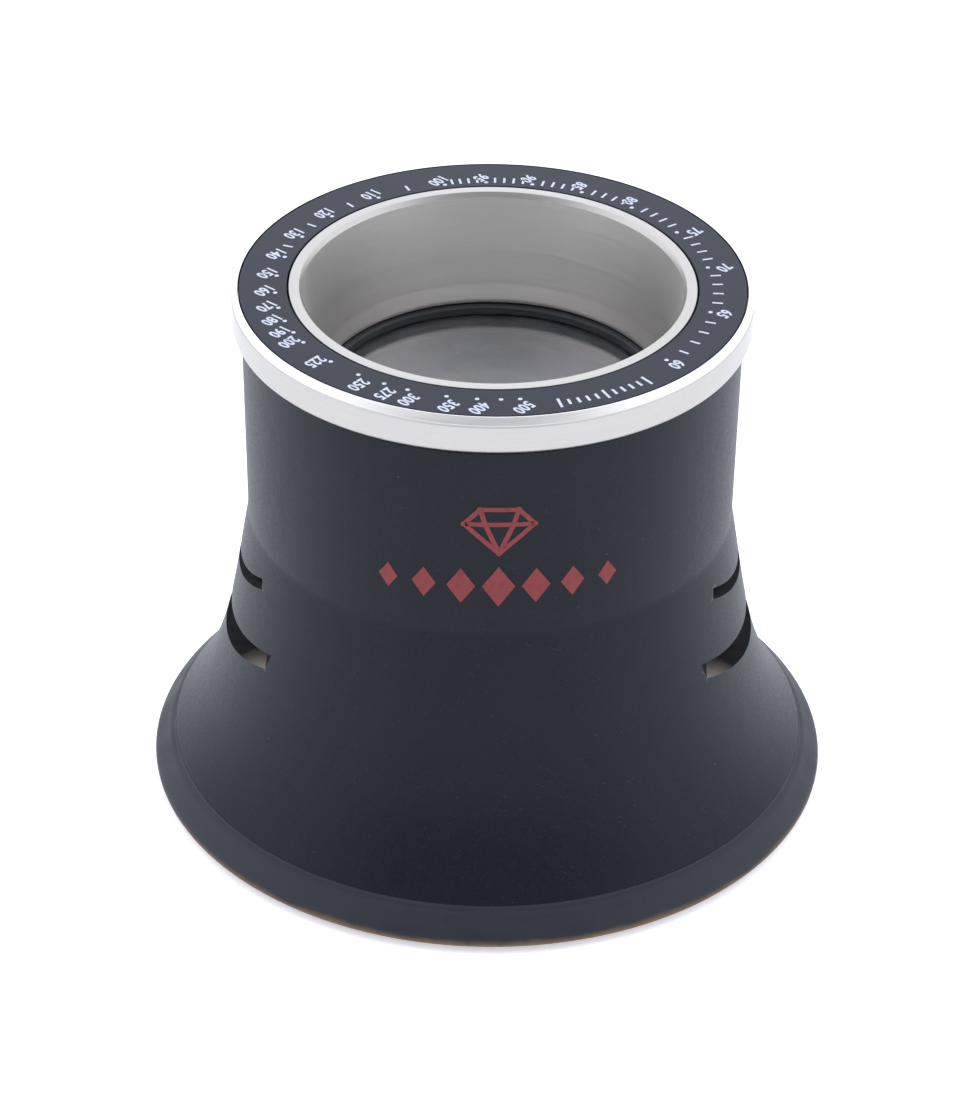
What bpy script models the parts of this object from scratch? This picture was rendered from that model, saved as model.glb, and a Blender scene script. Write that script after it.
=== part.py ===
"""Jewellers' eye loupe: a flared eyecup, and a lens cell with a scale bezel that screws into its front.

Metres, +Z up along the optical axis. The origin is the centre of the eye rim's flat underside, on which the loupe
stands; the bezel is at the top and -Y is the front. The outlines below are (radius, height) pairs in millimetres.
"""

import math

import bmesh
import bpy
from mathutils import Vector
from mathutils.geometry import interpolate_bezier

MM = 0.001
SIDES = 48  # sides of every turned piece, the same on all of them so that running gaps stay even
WELD = 1e-6
SHARP = math.radians(28)
GAP = 0.10  # between pieces that rest on each other

# Heights along the optical axis
TOP = 30.5
INSERT_THICKNESS = 0.62
BEZEL_BOTTOM = 28.38
CUP_TOP = 28.24
SEAL_FLOOR = 27.2
BORE_BOTTOM = 20.75
KINK = 16.8
FLARE_TOP = 13.1
BARREL_BOTTOM = 17.2

# Eyecup
CUP_TOP_R = 13.51
KINK_R = 13.37
FLARE_TOP_R = 13.97
FLARE_END = Vector((17.80, 2.28))
FLARE_END_SLOPE = math.radians(52.1)
FLARE_HANDLES = (4.95, 3.66)
FLARE_STEPS = 8
WALL = 0.8
THREAD_BORE_R = 11.70
SEAL_BORE_R = 12.30

# Eye rim, a soft ring pressed over the cup's edge
RIM_REBATE = 0.35
TONGUE_LENGTH = 1.10
TONGUE_THICKNESS = 0.40
RIM_R = 19.0
RIM_EDGE = 0.60  # height of the outermost point
RIM_UNDERCUT = 1.30  # how far in the rounded underside reaches
RIM_FOOT_INNER_R = 17.0

# Vent slots, cut down and outward through the wall, mirrored at +X and -X
# (top corner of the cutter's inner edge, slope of its upper face in degrees, bottom corner, slope of its lower face)
VENTS = {
    "upper": ((12.25, 15.20), 40.0, (12.28, 14.59), 40.5),
    "lower": ((11.70, 11.58), 22.0, (12.05, 10.59), 31.8),
}
VENT_REACH = 6.0  # outward, past the skin
VENT_WIDTH = 40.0

# Cell thread: right-handed V, one helix for both halves, which stays in mesh as the cell unscrews
PITCH = 1.0
THREAD_START = 22.8
THREAD_DEPTH = 0.42
MALE_TURNS = (0.5, 4.0)
FEMALE_TURNS = (0.0, 5.1)
MALE_CENTRE_R = 11.57
FEMALE_CENTRE_R = 11.72

# Lens barrel
LIP_R = 10.94
SHOULDER_R = 11.65
SHOULDER_TOP = 28.28
SEAL_GROOVE_R = 11.30
SEAL_GROOVE = (27.40, 28.10)
SPIGOT_R = 11.55
TAIL_R = 11.40
BORE_TOP_R = 10.22
BORE_END_R = 9.40
LEDGE_TOP = 24.20
LEDGE_BOTTOM = 23.95
CELL_BORE_R = 10.35

# Lens stack, from the front to the eye
LENS_R = 10.20
SEAT_RING = (23.40, 23.85, 9.05)
FRONT_LENS = (21.90, 23.10, 0.90, 0.35)
SPACER = (20.20, 21.73, 9.30)
EYE_LENS = (18.95, 20.05, 0.25, 0.75)
RETAINER = (17.40, 18.70, 9.00)
SPANNER_SLOT = (1.2, 0.7)

# Bezel
BEZEL_R = 14.02
BEZEL_CHAMFER = (0.30, 0.42)
INSERT_OUTER_R = 13.60
INSERT_INNER_R = 11.04

# Seal ring
SEAL_SECTION_R = 0.36
SEAL_CENTRE = (11.77, 27.75)


def clear_scene():
    for old in list(bpy.data.objects):
        bpy.data.objects.remove(old)


def new_collection(name, hidden=False):
    collection = bpy.data.collections.new(name)
    bpy.context.scene.collection.children.link(collection)
    collection.hide_render = hidden
    return collection


def new_material(name, color, roughness, metallic=0.0, alpha=1.0):
    material = bpy.data.materials.new(name)
    material.use_nodes = True
    shader = material.node_tree.nodes["Principled BSDF"]
    shader.inputs["Base Color"].default_value = (*color, 1.0)
    shader.inputs["Roughness"].default_value = roughness
    shader.inputs["Metallic"].default_value = metallic
    shader.inputs["Alpha"].default_value = alpha
    material.diffuse_color = (*color, alpha)
    return material


def settle(obj):
    """Replaces the object's data by its evaluated mesh, smooth with sharp edges."""
    graph = bpy.context.evaluated_depsgraph_get()
    mesh = bpy.data.meshes.new_from_object(obj.evaluated_get(graph))
    obj.modifiers.clear()
    obj.data = mesh
    mesh.shade_smooth()
    mesh.set_sharp_from_angle(angle=SHARP)


def turned(name, outline, base, material, collection):
    """A solid of revolution. The outline runs down the outer side first, and starts and ends on the axis or closes."""
    mesh = bpy.data.meshes.new(name)
    points = [(r * MM, 0.0, (z - base) * MM) for r, z in outline]
    edges = [(i, i + 1) for i in range(len(points) - 1)]
    if outline[0][0] > 0:
        edges.append((len(points) - 1, 0))
    mesh.from_pydata(points, edges, [])
    obj = bpy.data.objects.new(name, mesh)
    collection.objects.link(obj)
    obj.location.z = base * MM
    screw = obj.modifiers.new("Turn", "SCREW")
    screw.steps = SIDES
    screw.render_steps = SIDES
    screw.use_merge_vertices = True
    screw.merge_threshold = WELD
    bpy.context.view_layer.update()
    settle(obj)
    obj.data.materials.clear()
    obj.data.materials.append(material)
    return obj


def ring(outer_r, inner_r, bottom, top, chamfer=0.0):
    """Outline of a plain ring with its four corners chamfered."""
    c = chamfer
    corners = [
        (outer_r - c, top),
        (outer_r, top - c),
        (outer_r, bottom + c),
        (outer_r - c, bottom),
        (inner_r + c, bottom),
        (inner_r, bottom + c),
        (inner_r, top - c),
        (inner_r + c, top),
    ]
    return corners if c > 0 else corners[::2]


def dome(edge_r, height, steps=7):
    """Points of a spherical cap from the axis to its edge, as (radius, height above the edge)."""
    sphere_r = (edge_r**2 + height**2) / (2 * height)
    points = []
    for i in range(steps + 1):
        r = edge_r * i / steps
        points.append((r, math.sqrt(sphere_r**2 - r**2) - sphere_r + height))
    return points


def lens_outline(bottom, top, front_height, eye_height):
    """A lens whose rim spans bottom to top, with a dome on each face."""
    front = [(r, top + h) for r, h in dome(LENS_R, front_height)]
    eye = [(r, bottom - h) for r, h in dome(LENS_R, eye_height)]
    return front + eye[::-1]


def flare(t):
    """Point and outward normal of the eyecup's flared outer wall, from 0 at its top to 1 at the eye rim."""
    start = Vector((FLARE_TOP_R, FLARE_TOP))
    along_cone = (start - Vector((KINK_R, KINK))).normalized()
    along_end = Vector((math.cos(FLARE_END_SLOPE), -math.sin(FLARE_END_SLOPE)))
    ctrl = (
        start,
        start + FLARE_HANDLES[0] * along_cone,
        FLARE_END - FLARE_HANDLES[1] * along_end,
        FLARE_END,
    )
    s = 1 - t
    point = s**3 * ctrl[0] + 3 * s * s * t * ctrl[1] + 3 * s * t * t * ctrl[2] + t**3 * ctrl[3]
    along = s * s * (ctrl[1] - ctrl[0]) + 2 * s * t * (ctrl[2] - ctrl[1]) + t * t * (ctrl[3] - ctrl[2])
    along.normalize()
    return point, Vector((-along.y, along.x))


def tongue():
    """Corners of the rebated edge that the eye rim grips, from its outer root round to its inner root."""
    end, normal = flare(1.0)
    along = Vector((normal.y, -normal.x))
    outer_root = end - RIM_REBATE * normal
    outer_tip = outer_root + TONGUE_LENGTH * along
    inner_tip = outer_tip - TONGUE_THICKNESS * normal
    inner_root = inner_tip - TONGUE_LENGTH * along
    return outer_root, outer_tip, inner_tip, inner_root, along, normal


def eyecup_outline():
    steps = [i / FLARE_STEPS for i in range(FLARE_STEPS + 1)]
    outer_root, outer_tip, inner_tip, inner_root, _, _ = tongue()
    outline = [(CUP_TOP_R - 0.15, CUP_TOP), (CUP_TOP_R, CUP_TOP - 0.15), (KINK_R, KINK)]
    outline += [tuple(flare(t)[0]) for t in steps]
    outline += [tuple(p) for p in (outer_root, outer_tip, inner_tip, inner_root)]
    outline += [tuple(flare(t)[0] - WALL * flare(t)[1]) for t in reversed(steps)]
    outline += [
        (KINK_R - WALL, KINK),
        (KINK_R - WALL, BORE_BOTTOM - 0.5),
        (THREAD_BORE_R, BORE_BOTTOM),
        (THREAD_BORE_R, SEAL_FLOOR - 0.1),
        (THREAD_BORE_R + 0.1, SEAL_FLOOR),
        (SEAL_BORE_R, SEAL_FLOOR),
        (SEAL_BORE_R, CUP_TOP - 0.12),
        (SEAL_BORE_R + 0.12, CUP_TOP),
    ]
    return outline


def rim_outline():
    """The soft rim: a proud lip on the cup's skin, a crowned edge, a flat foot, and a slot for the cup's tongue."""
    outer_root, outer_tip, inner_tip, inner_root, along, normal = tongue()
    skin = outer_root + RIM_REBATE * normal
    lip_top = skin + GAP * along + 0.08 * normal
    edge = Vector((RIM_R, RIM_EDGE))
    crown = lip_top + 0.26 * along - 0.10 * normal
    outline = [lip_top, lip_top + 0.16 * along - 0.14 * normal]
    outline += interpolate_bezier(crown, crown + 0.7 * along, edge + Vector((0.0, 0.45)), edge, 7)[:-1]
    for degrees in range(0, -91, -15):
        angle = math.radians(degrees)
        outline.append(edge + Vector((RIM_UNDERCUT * (math.cos(angle) - 1), RIM_EDGE * math.sin(angle))))
    outline += [
        Vector((RIM_FOOT_INNER_R, 0.0)),
        Vector((RIM_FOOT_INNER_R - 0.30, 0.12)),
        Vector((RIM_FOOT_INNER_R - 0.50, 0.45)),
        inner_root - 0.60 * normal + GAP * along,
        inner_root - 0.40 * normal - GAP * along,
        inner_root - 0.25 * normal,
        inner_root - GAP * normal + GAP * along,
        inner_tip - GAP * normal + GAP * along,
        outer_tip + GAP * normal + GAP * along,
        outer_root + GAP * normal + GAP * along,
        skin + GAP * along,
    ]
    return [tuple(p) for p in outline]


def barrel_outline():
    groove_bottom, groove_top = SEAL_GROOVE
    return [
        (LIP_R - 0.05, TOP),
        (LIP_R, TOP - 0.05),
        (LIP_R, SHOULDER_TOP),
        (SHOULDER_R, SHOULDER_TOP),
        (SHOULDER_R, groove_top),
        (SEAL_GROOVE_R, groove_top),
        (SEAL_GROOVE_R, groove_bottom),
        (SHOULDER_R, groove_bottom),
        (SHOULDER_R, SEAL_FLOOR),
        (SPIGOT_R, SEAL_FLOOR - 0.1),
        (SPIGOT_R, THREAD_START),
        (TAIL_R, THREAD_START - 0.15),
        (TAIL_R, BARREL_BOTTOM + 0.25),
        (TAIL_R - 0.25, BARREL_BOTTOM),
        (CELL_BORE_R + 0.15, BARREL_BOTTOM),
        (CELL_BORE_R, BARREL_BOTTOM + 0.15),
        (CELL_BORE_R, LEDGE_BOTTOM),
        (BORE_END_R, LEDGE_BOTTOM),
        (BORE_END_R, LEDGE_TOP),
        (BORE_TOP_R, TOP - 0.28),
        (BORE_TOP_R + 0.17, TOP),
    ]


def bezel_outline():
    chamfer_width, chamfer_height = BEZEL_CHAMFER
    floor = TOP - INSERT_THICKNESS - GAP
    recess_r = INSERT_OUTER_R + 0.07
    return [
        (recess_r, TOP),
        (BEZEL_R - chamfer_width, TOP),
        (BEZEL_R, TOP - chamfer_height),
        (BEZEL_R, BEZEL_BOTTOM + 0.15),
        (BEZEL_R - 0.15, BEZEL_BOTTOM),
        (LIP_R + GAP, BEZEL_BOTTOM),
        (LIP_R + GAP, floor),
        (recess_r, floor),
    ]


def seal_outline(sides=10):
    centre_r, centre_z = SEAL_CENTRE
    outline = []
    for i in range(sides):
        angle = math.pi / 2 - 2 * math.pi * i / sides
        outline.append((centre_r + SEAL_SECTION_R * math.cos(angle), centre_z + SEAL_SECTION_R * math.sin(angle)))
    return outline


def helper(name, mesh, collection):
    """An object that only cuts or joins another: never rendered, shown as wire."""
    obj = bpy.data.objects.new(name, mesh)
    collection.objects.link(obj)
    obj.hide_render = True
    obj.display_type = "WIRE"
    return obj


def helix(name, centre_r, turns, collection):
    """A V-section bar along the thread's helix, tapering out at both ends."""
    first, last = turns
    count = round((last - first) * SIDES) + 1
    curve = bpy.data.curves.new(name, "CURVE")
    curve.dimensions = "3D"
    curve.twist_mode = "Z_UP"
    curve.bevel_depth = THREAD_DEPTH * MM
    curve.bevel_resolution = 0
    curve.use_fill_caps = True
    spline = curve.splines.new("POLY")
    spline.points.add(count - 1)
    for i, point in enumerate(spline.points):
        turn = first + i / SIDES
        angle = 2 * math.pi * turn
        x = centre_r * math.cos(angle)
        y = centre_r * math.sin(angle)
        point.co = (x * MM, y * MM, (THREAD_START + PITCH * turn) * MM, 1.0)
        steps_from_end = min(i, count - 1 - i)
        point.radius = min(1.0, 0.3 + 0.7 * steps_from_end / (SIDES / 6))
    guide = bpy.data.objects.new(name + "_curve", curve)
    collection.objects.link(guide)
    bpy.context.view_layer.update()
    graph = bpy.context.evaluated_depsgraph_get()
    mesh = bpy.data.meshes.new_from_object(guide.evaluated_get(graph))
    welded = bmesh.new()
    welded.from_mesh(mesh)
    bmesh.ops.remove_doubles(welded, verts=welded.verts, dist=WELD)
    bmesh.ops.recalc_face_normals(welded, faces=welded.faces)
    welded.to_mesh(mesh)
    welded.free()
    obj = helper(name, mesh, collection)
    obj.matrix_world = guide.matrix_world
    bpy.data.objects.remove(guide)
    return obj


def block(name, size, collection):
    """A box cutter centred on its own origin."""
    mesh = bpy.data.meshes.new(name)
    cube = bmesh.new()
    bmesh.ops.create_cube(cube, size=1.0)
    bmesh.ops.scale(cube, vec=Vector(size) * MM, verts=cube.verts)
    cube.to_mesh(mesh)
    cube.free()
    return helper(name, mesh, collection)


def boolean(obj, other, operation):
    modifier = obj.modifiers.new(other.name, "BOOLEAN")
    modifier.operation = operation
    modifier.solver = "EXACT"
    modifier.object = other


def wedge(name, corners, width, collection):
    """A prism along Y whose section has the given (x, z) corners."""
    solid = bmesh.new()
    ends = []
    for y in (-width / 2, width / 2):
        ends.append([solid.verts.new((x * MM, y * MM, z * MM)) for x, z in corners])
    front, back = ends
    solid.faces.new(front)
    solid.faces.new(back[::-1])
    for i in range(len(corners)):
        j = (i + 1) % len(corners)
        solid.faces.new((front[i], back[i], back[j], front[j]))
    bmesh.ops.recalc_face_normals(solid, faces=solid.faces)
    mesh = bpy.data.meshes.new(name)
    solid.to_mesh(mesh)
    solid.free()
    return helper(name, mesh, collection)


def cut_vents(cup, cutters):
    for label, (top, top_slope, bottom, bottom_slope) in VENTS.items():
        for side, turn in (("right", 0.0), ("left", math.pi)):
            corners = [top, bottom]
            for (x, z), slope in ((bottom, bottom_slope), (top, top_slope)):
                tilt = math.radians(slope)
                corners.append((x + VENT_REACH * math.cos(tilt), z - VENT_REACH * math.sin(tilt)))
            cutter = wedge(f"vent_{label}_{side}", corners, VENT_WIDTH, cutters)
            cutter.rotation_euler.z = turn
            boolean(cup, cutter, "DIFFERENCE")


def cut_spanner_slots(retainer, cutters):
    width, depth = SPANNER_SLOT
    for side in (1, -1):
        slot = block(f"spanner_slot_{'back' if side > 0 else 'front'}", (width, 4.0, 2 * depth), cutters)
        slot.location = (0.0, side * LENS_R * MM, RETAINER[0] * MM)
        boolean(retainer, slot, "DIFFERENCE")


def joint_empty(name, height, parts):
    """An empty on the optical axis that carries the pieces of one moving body."""
    empty = bpy.data.objects.new(name, None)
    parts.objects.link(empty)
    empty.location.z = height * MM
    empty.empty_display_size = 5 * MM
    return empty


def carry(empty, pieces):
    for piece in pieces:
        piece.parent = empty
        piece.location.z -= empty.location.z


def build():
    clear_scene()
    parts = new_collection("jewelers_loupe")
    cutters = new_collection("cutters", hidden=True)

    anodised = new_material("black_anodised", (0.030, 0.033, 0.041), 0.42, 0.6)
    rubber = new_material("rim_rubber", (0.035, 0.038, 0.046), 0.6)
    satin = new_material("satin_metal", (0.72, 0.72, 0.71), 0.3, 1.0)
    dial = new_material("scale_black", (0.045, 0.048, 0.062), 0.4, 0.5)
    matt = new_material("matt_black", (0.02, 0.02, 0.02), 0.7)
    glass = new_material("lens_glass", (0.92, 0.95, 0.97), 0.03, alpha=0.35)
    seal_rubber = new_material("seal_rubber", (0.012, 0.012, 0.013), 0.55)

    cup = turned("eyecup_shell", eyecup_outline(), 0.0, anodised, parts)
    boolean(cup, helix("female_thread", FEMALE_CENTRE_R, FEMALE_TURNS, cutters), "DIFFERENCE")
    cut_vents(cup, cutters)
    turned("eye_rim", rim_outline(), 0.0, rubber, parts)

    barrel = turned("lens_barrel", barrel_outline(), BARREL_BOTTOM, satin, parts)
    boolean(barrel, helix("male_thread", MALE_CENTRE_R, MALE_TURNS, cutters), "UNION")
    bezel = turned("bezel_ring", bezel_outline(), BEZEL_BOTTOM, satin, parts)
    insert_bottom = TOP - INSERT_THICKNESS
    insert_outline = ring(INSERT_OUTER_R, INSERT_INNER_R, insert_bottom, TOP)
    insert = turned("scale_insert", insert_outline, insert_bottom, dial, parts)

    seat_outline = ring(LENS_R, SEAT_RING[2], SEAT_RING[0], SEAT_RING[1])
    seat = turned("lens_seat_ring", seat_outline, SEAT_RING[0], matt, parts)
    front_lens = turned("front_lens", lens_outline(*FRONT_LENS), FRONT_LENS[0], glass, parts)
    spacer_outline = ring(LENS_R, SPACER[2], SPACER[0], SPACER[1], chamfer=0.1)
    spacer = turned("lens_spacer", spacer_outline, SPACER[0], matt, parts)
    eye_lens = turned("eye_lens", lens_outline(*EYE_LENS), EYE_LENS[0], glass, parts)
    retainer_outline = ring(LENS_R, RETAINER[2], RETAINER[0], RETAINER[1], chamfer=0.15)
    retainer = turned("retaining_ring", retainer_outline, RETAINER[0], matt, parts)
    cut_spanner_slots(retainer, cutters)

    seal = turned("cell_seal", seal_outline(), SEAL_CENTRE[1], seal_rubber, parts)

    carry(joint_empty("cell_rise_axis", SEAL_CENTRE[1], parts), [seal])
    cell = [barrel, bezel, insert, seat, front_lens, spacer, eye_lens, retainer]
    carry(joint_empty("cell_turn_axis", SHOULDER_TOP, parts), cell)


build()
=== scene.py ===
"""Looks of the jewellers' eye loupe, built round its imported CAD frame.

Every piece is turned, cut, swept or printed here from named sizes in millimetres, in the CAD's own frame:
+Z up the optical axis, the eye rim's foot at zero, and -Y the front. An outline is a closed list of
(radius, height) or (radius, height, corner radius) that runs down the outer side first. Azimuths are
measured from -Y toward +X.
"""

import math

import bmesh
import bpy
from mathutils import Matrix, Vector
from mathutils.geometry import interpolate_bezier


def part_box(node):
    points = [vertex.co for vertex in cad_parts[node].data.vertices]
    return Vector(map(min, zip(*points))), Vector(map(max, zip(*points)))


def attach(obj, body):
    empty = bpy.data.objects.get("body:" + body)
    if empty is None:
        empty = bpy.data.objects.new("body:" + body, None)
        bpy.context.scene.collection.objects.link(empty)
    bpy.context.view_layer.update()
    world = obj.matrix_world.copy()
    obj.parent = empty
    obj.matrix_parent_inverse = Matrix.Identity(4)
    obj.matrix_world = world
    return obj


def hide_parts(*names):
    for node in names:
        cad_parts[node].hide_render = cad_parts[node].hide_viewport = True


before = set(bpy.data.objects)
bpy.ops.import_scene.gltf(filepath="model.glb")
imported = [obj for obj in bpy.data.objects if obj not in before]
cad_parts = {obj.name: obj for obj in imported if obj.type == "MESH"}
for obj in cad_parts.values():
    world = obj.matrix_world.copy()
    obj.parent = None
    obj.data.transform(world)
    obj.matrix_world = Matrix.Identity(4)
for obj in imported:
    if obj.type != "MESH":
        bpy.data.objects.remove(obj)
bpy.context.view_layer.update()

MM = 0.001
SIDES = 192  # of every turned piece
ARC_STEP = math.radians(14)
SHARP = math.radians(33)


def turned_size(node):
    """(outer radius, bottom, top) of a turned CAD node."""
    low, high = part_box(node)
    return high.x / MM, low.z / MM, high.z / MM


# Sizes that the frame gives
_, _, CUP_TOP = turned_size("eyecup_shell")
RIM_R, _, _ = turned_size("eye_rim")
BEZEL_R, BEZEL_BOTTOM, TOP = turned_size("bezel_ring")
INSERT_R, INSERT_BOTTOM, _ = turned_size("scale_insert")
SHOULDER_R, BARREL_BOTTOM, _ = turned_size("lens_barrel")
LENS_R, SEAT_BOTTOM, SEAT_TOP = turned_size("lens_seat_ring")
_, SPACER_BOTTOM, SPACER_TOP = turned_size("lens_spacer")
_, RETAINER_BOTTOM, RETAINER_TOP = turned_size("retaining_ring")
SEAL_R, SEAL_BOTTOM, SEAL_TOP = turned_size("cell_seal")

# Eyecup
CUP_TOP_R = 13.51
KINK = 16.8
KINK_R = 13.37
FLARE_TOP = 13.1
FLARE_TOP_R = 13.97
FLARE_END = Vector((17.80, 2.28))
FLARE_END_SLOPE = math.radians(52.1)
FLARE_HANDLES = (4.95, 3.66)
FLARE_STEPS = 30
CONE_STEPS = 10  # rows between the kink and the flare, kept short so that the vents shade cleanly
WALL = 0.8
BORE_BOTTOM = 20.75
SEAL_FLOOR = 27.2
THREAD_BORE_R = 11.70
SEAL_BORE_R = 12.30

# Vents, upper and lower, as the wedges that cut them: the top corner of the wedge's inner edge, the slope of
# its upper face in degrees, the bottom corner of that edge, and the slope of its lower face
VENTS = (
    ((12.25, 15.20), 40.0, (12.28, 14.59), 40.5),
    ((11.70, 11.58), 22.0, (12.05, 10.59), 31.8),
)
VENT_REACH = 6.0  # outward, past the skin
VENT_WIDTH = 40.0
VENT_PAINTED_HIGHLIGHT = (5.6, 8.4)  # distance from a vent's middle at which its painted highlight patch starts, and is full

# Eye rim
GAP = 0.10
RIM_REBATE = 0.35
TONGUE_LENGTH = 1.10
TONGUE_THICKNESS = 0.40
RIM_EDGE = 0.60  # height of the outermost point
RIM_UNDERCUT = 1.30  # how far in the rounded underside reaches
RIM_FOOT_INNER_R = 17.0
RIM_LIP = 0.04  # how proud of the cup's skin it starts
RIM_GROOVE = (0.27, 0.17)  # how far along the skin from the lip, and how deep
RIM_CROWN = (0.50, 0.05)  # where the crowned edge starts, likewise
RIM_CROWN_HANDLES = (0.7, 0.45)

# Cell thread
PITCH = 1.0
THREAD_START = 22.8
THREAD_DEPTH = 0.42
MALE_TURNS = (0.5, 4.0)
FEMALE_TURNS = (0.0, 5.1)
MALE_CENTRE_R = 11.57
FEMALE_CENTRE_R = 11.72

# Lens barrel and bezel
LIP_R = 10.94
SHOULDER_TOP = 28.28
SEAL_GROOVE_R = 11.30
SEAL_GROOVE = (27.40, 28.10)
SPIGOT_R = 11.55
TAIL_R = 11.40
LIP_CHAMFER = (0.17, 0.28)  # width and height
BORE_TOP_R = 10.22
BORE_BELLY = ((0.16, 0.85, 2.0), (0.38, 2.90, 3.0))  # wider than its end, above the ledge, corner radius
BORE_END_R = 9.40
LEDGE_TOP = 24.20
LEDGE_BOTTOM = 23.95
CELL_BORE_R = 10.35
BEZEL_CHAMFER = (0.30, 0.42)
BEZEL_GROOVE = 0.05  # depth of the fine line under the chamfer
RECESS_R = INSERT_R + 0.07
INSERT_INNER_R = 11.04
INK_TOP = TOP - 0.004
INK_THICKNESS = 0.014

# Lens stack
SEAT_INNER_R = 9.05
SPACER_INNER_R = 9.30
RETAINER_INNER_R = 9.00
FRONT_LENS = (21.90, 23.10, 0.90, 0.35)  # rim bottom and top, front and eye dome
EYE_LENS = (18.95, 20.05, 0.25, 0.75)
SPANNER_SLOT = (1.2, 0.7)

# Scale: a tachymeter's numbers, 21600 / number degrees clockwise from the azimuth of 60
SCALE_START = 50.8
SCALE_SHIFT = Vector((0.08, -0.25))  # the print sits slightly off centre
DOT_R = 11.72
DOT_SIZE = 0.12
TICK = (11.68, 12.25, 0.13)  # inner and outer radius, width
DIGIT_SIZE = 1.0
DIGIT_SPACING = 1.05
DIGIT_NARROWING = 0.74
DIGIT_BOLDNESS = 0.030
NUMBER_NEAR_START = (0.74, 0.64)  # how far a number's middle stands to the side of its dot, and above it
NUMBER_FAR_FROM_START = (0.55, 0.62)  # on the half away from the azimuth of 60: to the side, and below it
TICK_BLOCK = (16.7, 2.35, 11)  # first azimuth, step and count of the plain ticks beside the 60
TICK_BLOCK_R = 12.45
TICK_BLOCK_SIZE = (0.86, 0.50, 0.15)  # length of every fifth tick, length of the others, width

# Light
SKY = (0.955, 0.985, 1.10)  # tint of all the light
TENT_STRENGTH = 1.65
DIM_STRENGTH = 0.5  # in the middle of the dimmer part
DIM_DIRECTION = (0.0, -0.88, 0.47)
DIM_FADE = (0.45, 0.95)  # cosine of the angle from that direction at which it starts to dim, and is dimmest
FLOOR_GLOW = 0.42

# Red print on the front
MARK_AZIMUTH = 2.9
MARK_LIFT = (-0.006, 0.010)  # of its two faces from the cup's wall
MARK_STRIP = 0.3  # width of the strips that bend round the cup
GEM_HEIGHT = 23.4  # of its middle
GEM_SIZE = (3.7, 2.7)
GEM_LINE = 0.26
LOZENGES_EACH_SIDE = 3
LOZENGE_HEIGHT = 19.95
LOZENGE_PITCH = 1.98
LOZENGE_SIZE = (1.75, 2.5)
LOZENGE_SHRINK = 0.13  # from each one to the next outward, as a share of the middle one


# ---- outlines ------------------------------------------------------------------------------------


def rounded(outline):
    """The outline with each corner that has a radius turned into an arc."""
    points = []
    count = len(outline)
    for i, corner in enumerate(outline):
        here = Vector(corner[:2])
        radius = corner[2] if len(corner) > 2 else 0.0
        if radius <= 0:
            points.append(here)
            continue
        before = Vector(outline[i - 1][:2]) - here
        after = Vector(outline[(i + 1) % count][:2]) - here
        half = before.angle(after) / 2
        reach = min(radius / math.tan(half), 0.48 * before.length, 0.48 * after.length)
        radius = reach * math.tan(half)
        middle = (before.normalized() + after.normalized()).normalized()
        centre = here + middle * (radius / math.sin(half))
        spoke = here + before.normalized() * reach - centre
        end = here + after.normalized() * reach - centre
        turn = math.pi - 2 * half
        if spoke.x * end.y - spoke.y * end.x < 0:
            turn = -turn
        steps = max(2, math.ceil(abs(turn) / ARC_STEP))
        for k in range(steps + 1):
            points.append(centre + Matrix.Rotation(turn * k / steps, 2) @ spoke)
    return points


def ring(outer_r, inner_r, bottom, top, corner):
    return [
        (outer_r, top, corner),
        (outer_r, bottom, corner),
        (inner_r, bottom, corner),
        (inner_r, top, corner),
    ]


def flare_wall():
    """Points and outward normals of the eyecup's flared outer wall, from its top to the eye rim."""
    start = Vector((FLARE_TOP_R, FLARE_TOP))
    along_cone = (start - Vector((KINK_R, KINK))).normalized()
    along_end = Vector((math.cos(FLARE_END_SLOPE), -math.sin(FLARE_END_SLOPE)))
    handles = (start + FLARE_HANDLES[0] * along_cone, FLARE_END - FLARE_HANDLES[1] * along_end)
    points = interpolate_bezier(start, *handles, FLARE_END, FLARE_STEPS + 1)
    alongs = [(b - a).normalized() for a, b in zip(points, points[2:])]
    alongs = [along_cone, *alongs, along_end]
    return points, [Vector((-along.y, along.x)) for along in alongs]


def tongue():
    """Corners of the rebated edge that the eye rim grips, with the wall's direction and normal there."""
    points, normals = flare_wall()
    normal = normals[-1]
    along = Vector((normal.y, -normal.x))
    outer_root = points[-1] - RIM_REBATE * normal
    outer_tip = outer_root + TONGUE_LENGTH * along
    inner_tip = outer_tip - TONGUE_THICKNESS * normal
    inner_root = inner_tip - TONGUE_LENGTH * along
    return outer_root, outer_tip, inner_tip, inner_root, along, normal


def cup_outline():
    points, normals = flare_wall()
    outer_root, outer_tip, inner_tip, inner_root, _, _ = tongue()
    kink = Vector((KINK_R, KINK))
    cone = [tuple(kink.lerp(points[0], i / CONE_STEPS)) for i in range(1, CONE_STEPS)]
    outer = [tuple(p) for p in points[:-1]] + [(*points[-1], 0.02)]
    inner = [tuple(p - WALL * n) for p, n in zip(points, normals)]
    return [
        (CUP_TOP_R, CUP_TOP, 0.14),
        (KINK_R, KINK, 3.0),
        *cone,
        *outer,
        tuple(outer_root),
        (*outer_tip, 0.08),
        (*inner_tip, 0.08),
        tuple(inner_root),
        *inner[::-1],
        (KINK_R - WALL, KINK, 1.0),
        (KINK_R - WALL, BORE_BOTTOM - 0.5, 0.2),
        (THREAD_BORE_R, BORE_BOTTOM, 0.1),
        (THREAD_BORE_R, SEAL_FLOOR, 0.1),
        (SEAL_BORE_R, SEAL_FLOOR),
        (SEAL_BORE_R, CUP_TOP, 0.12),
    ]


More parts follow.
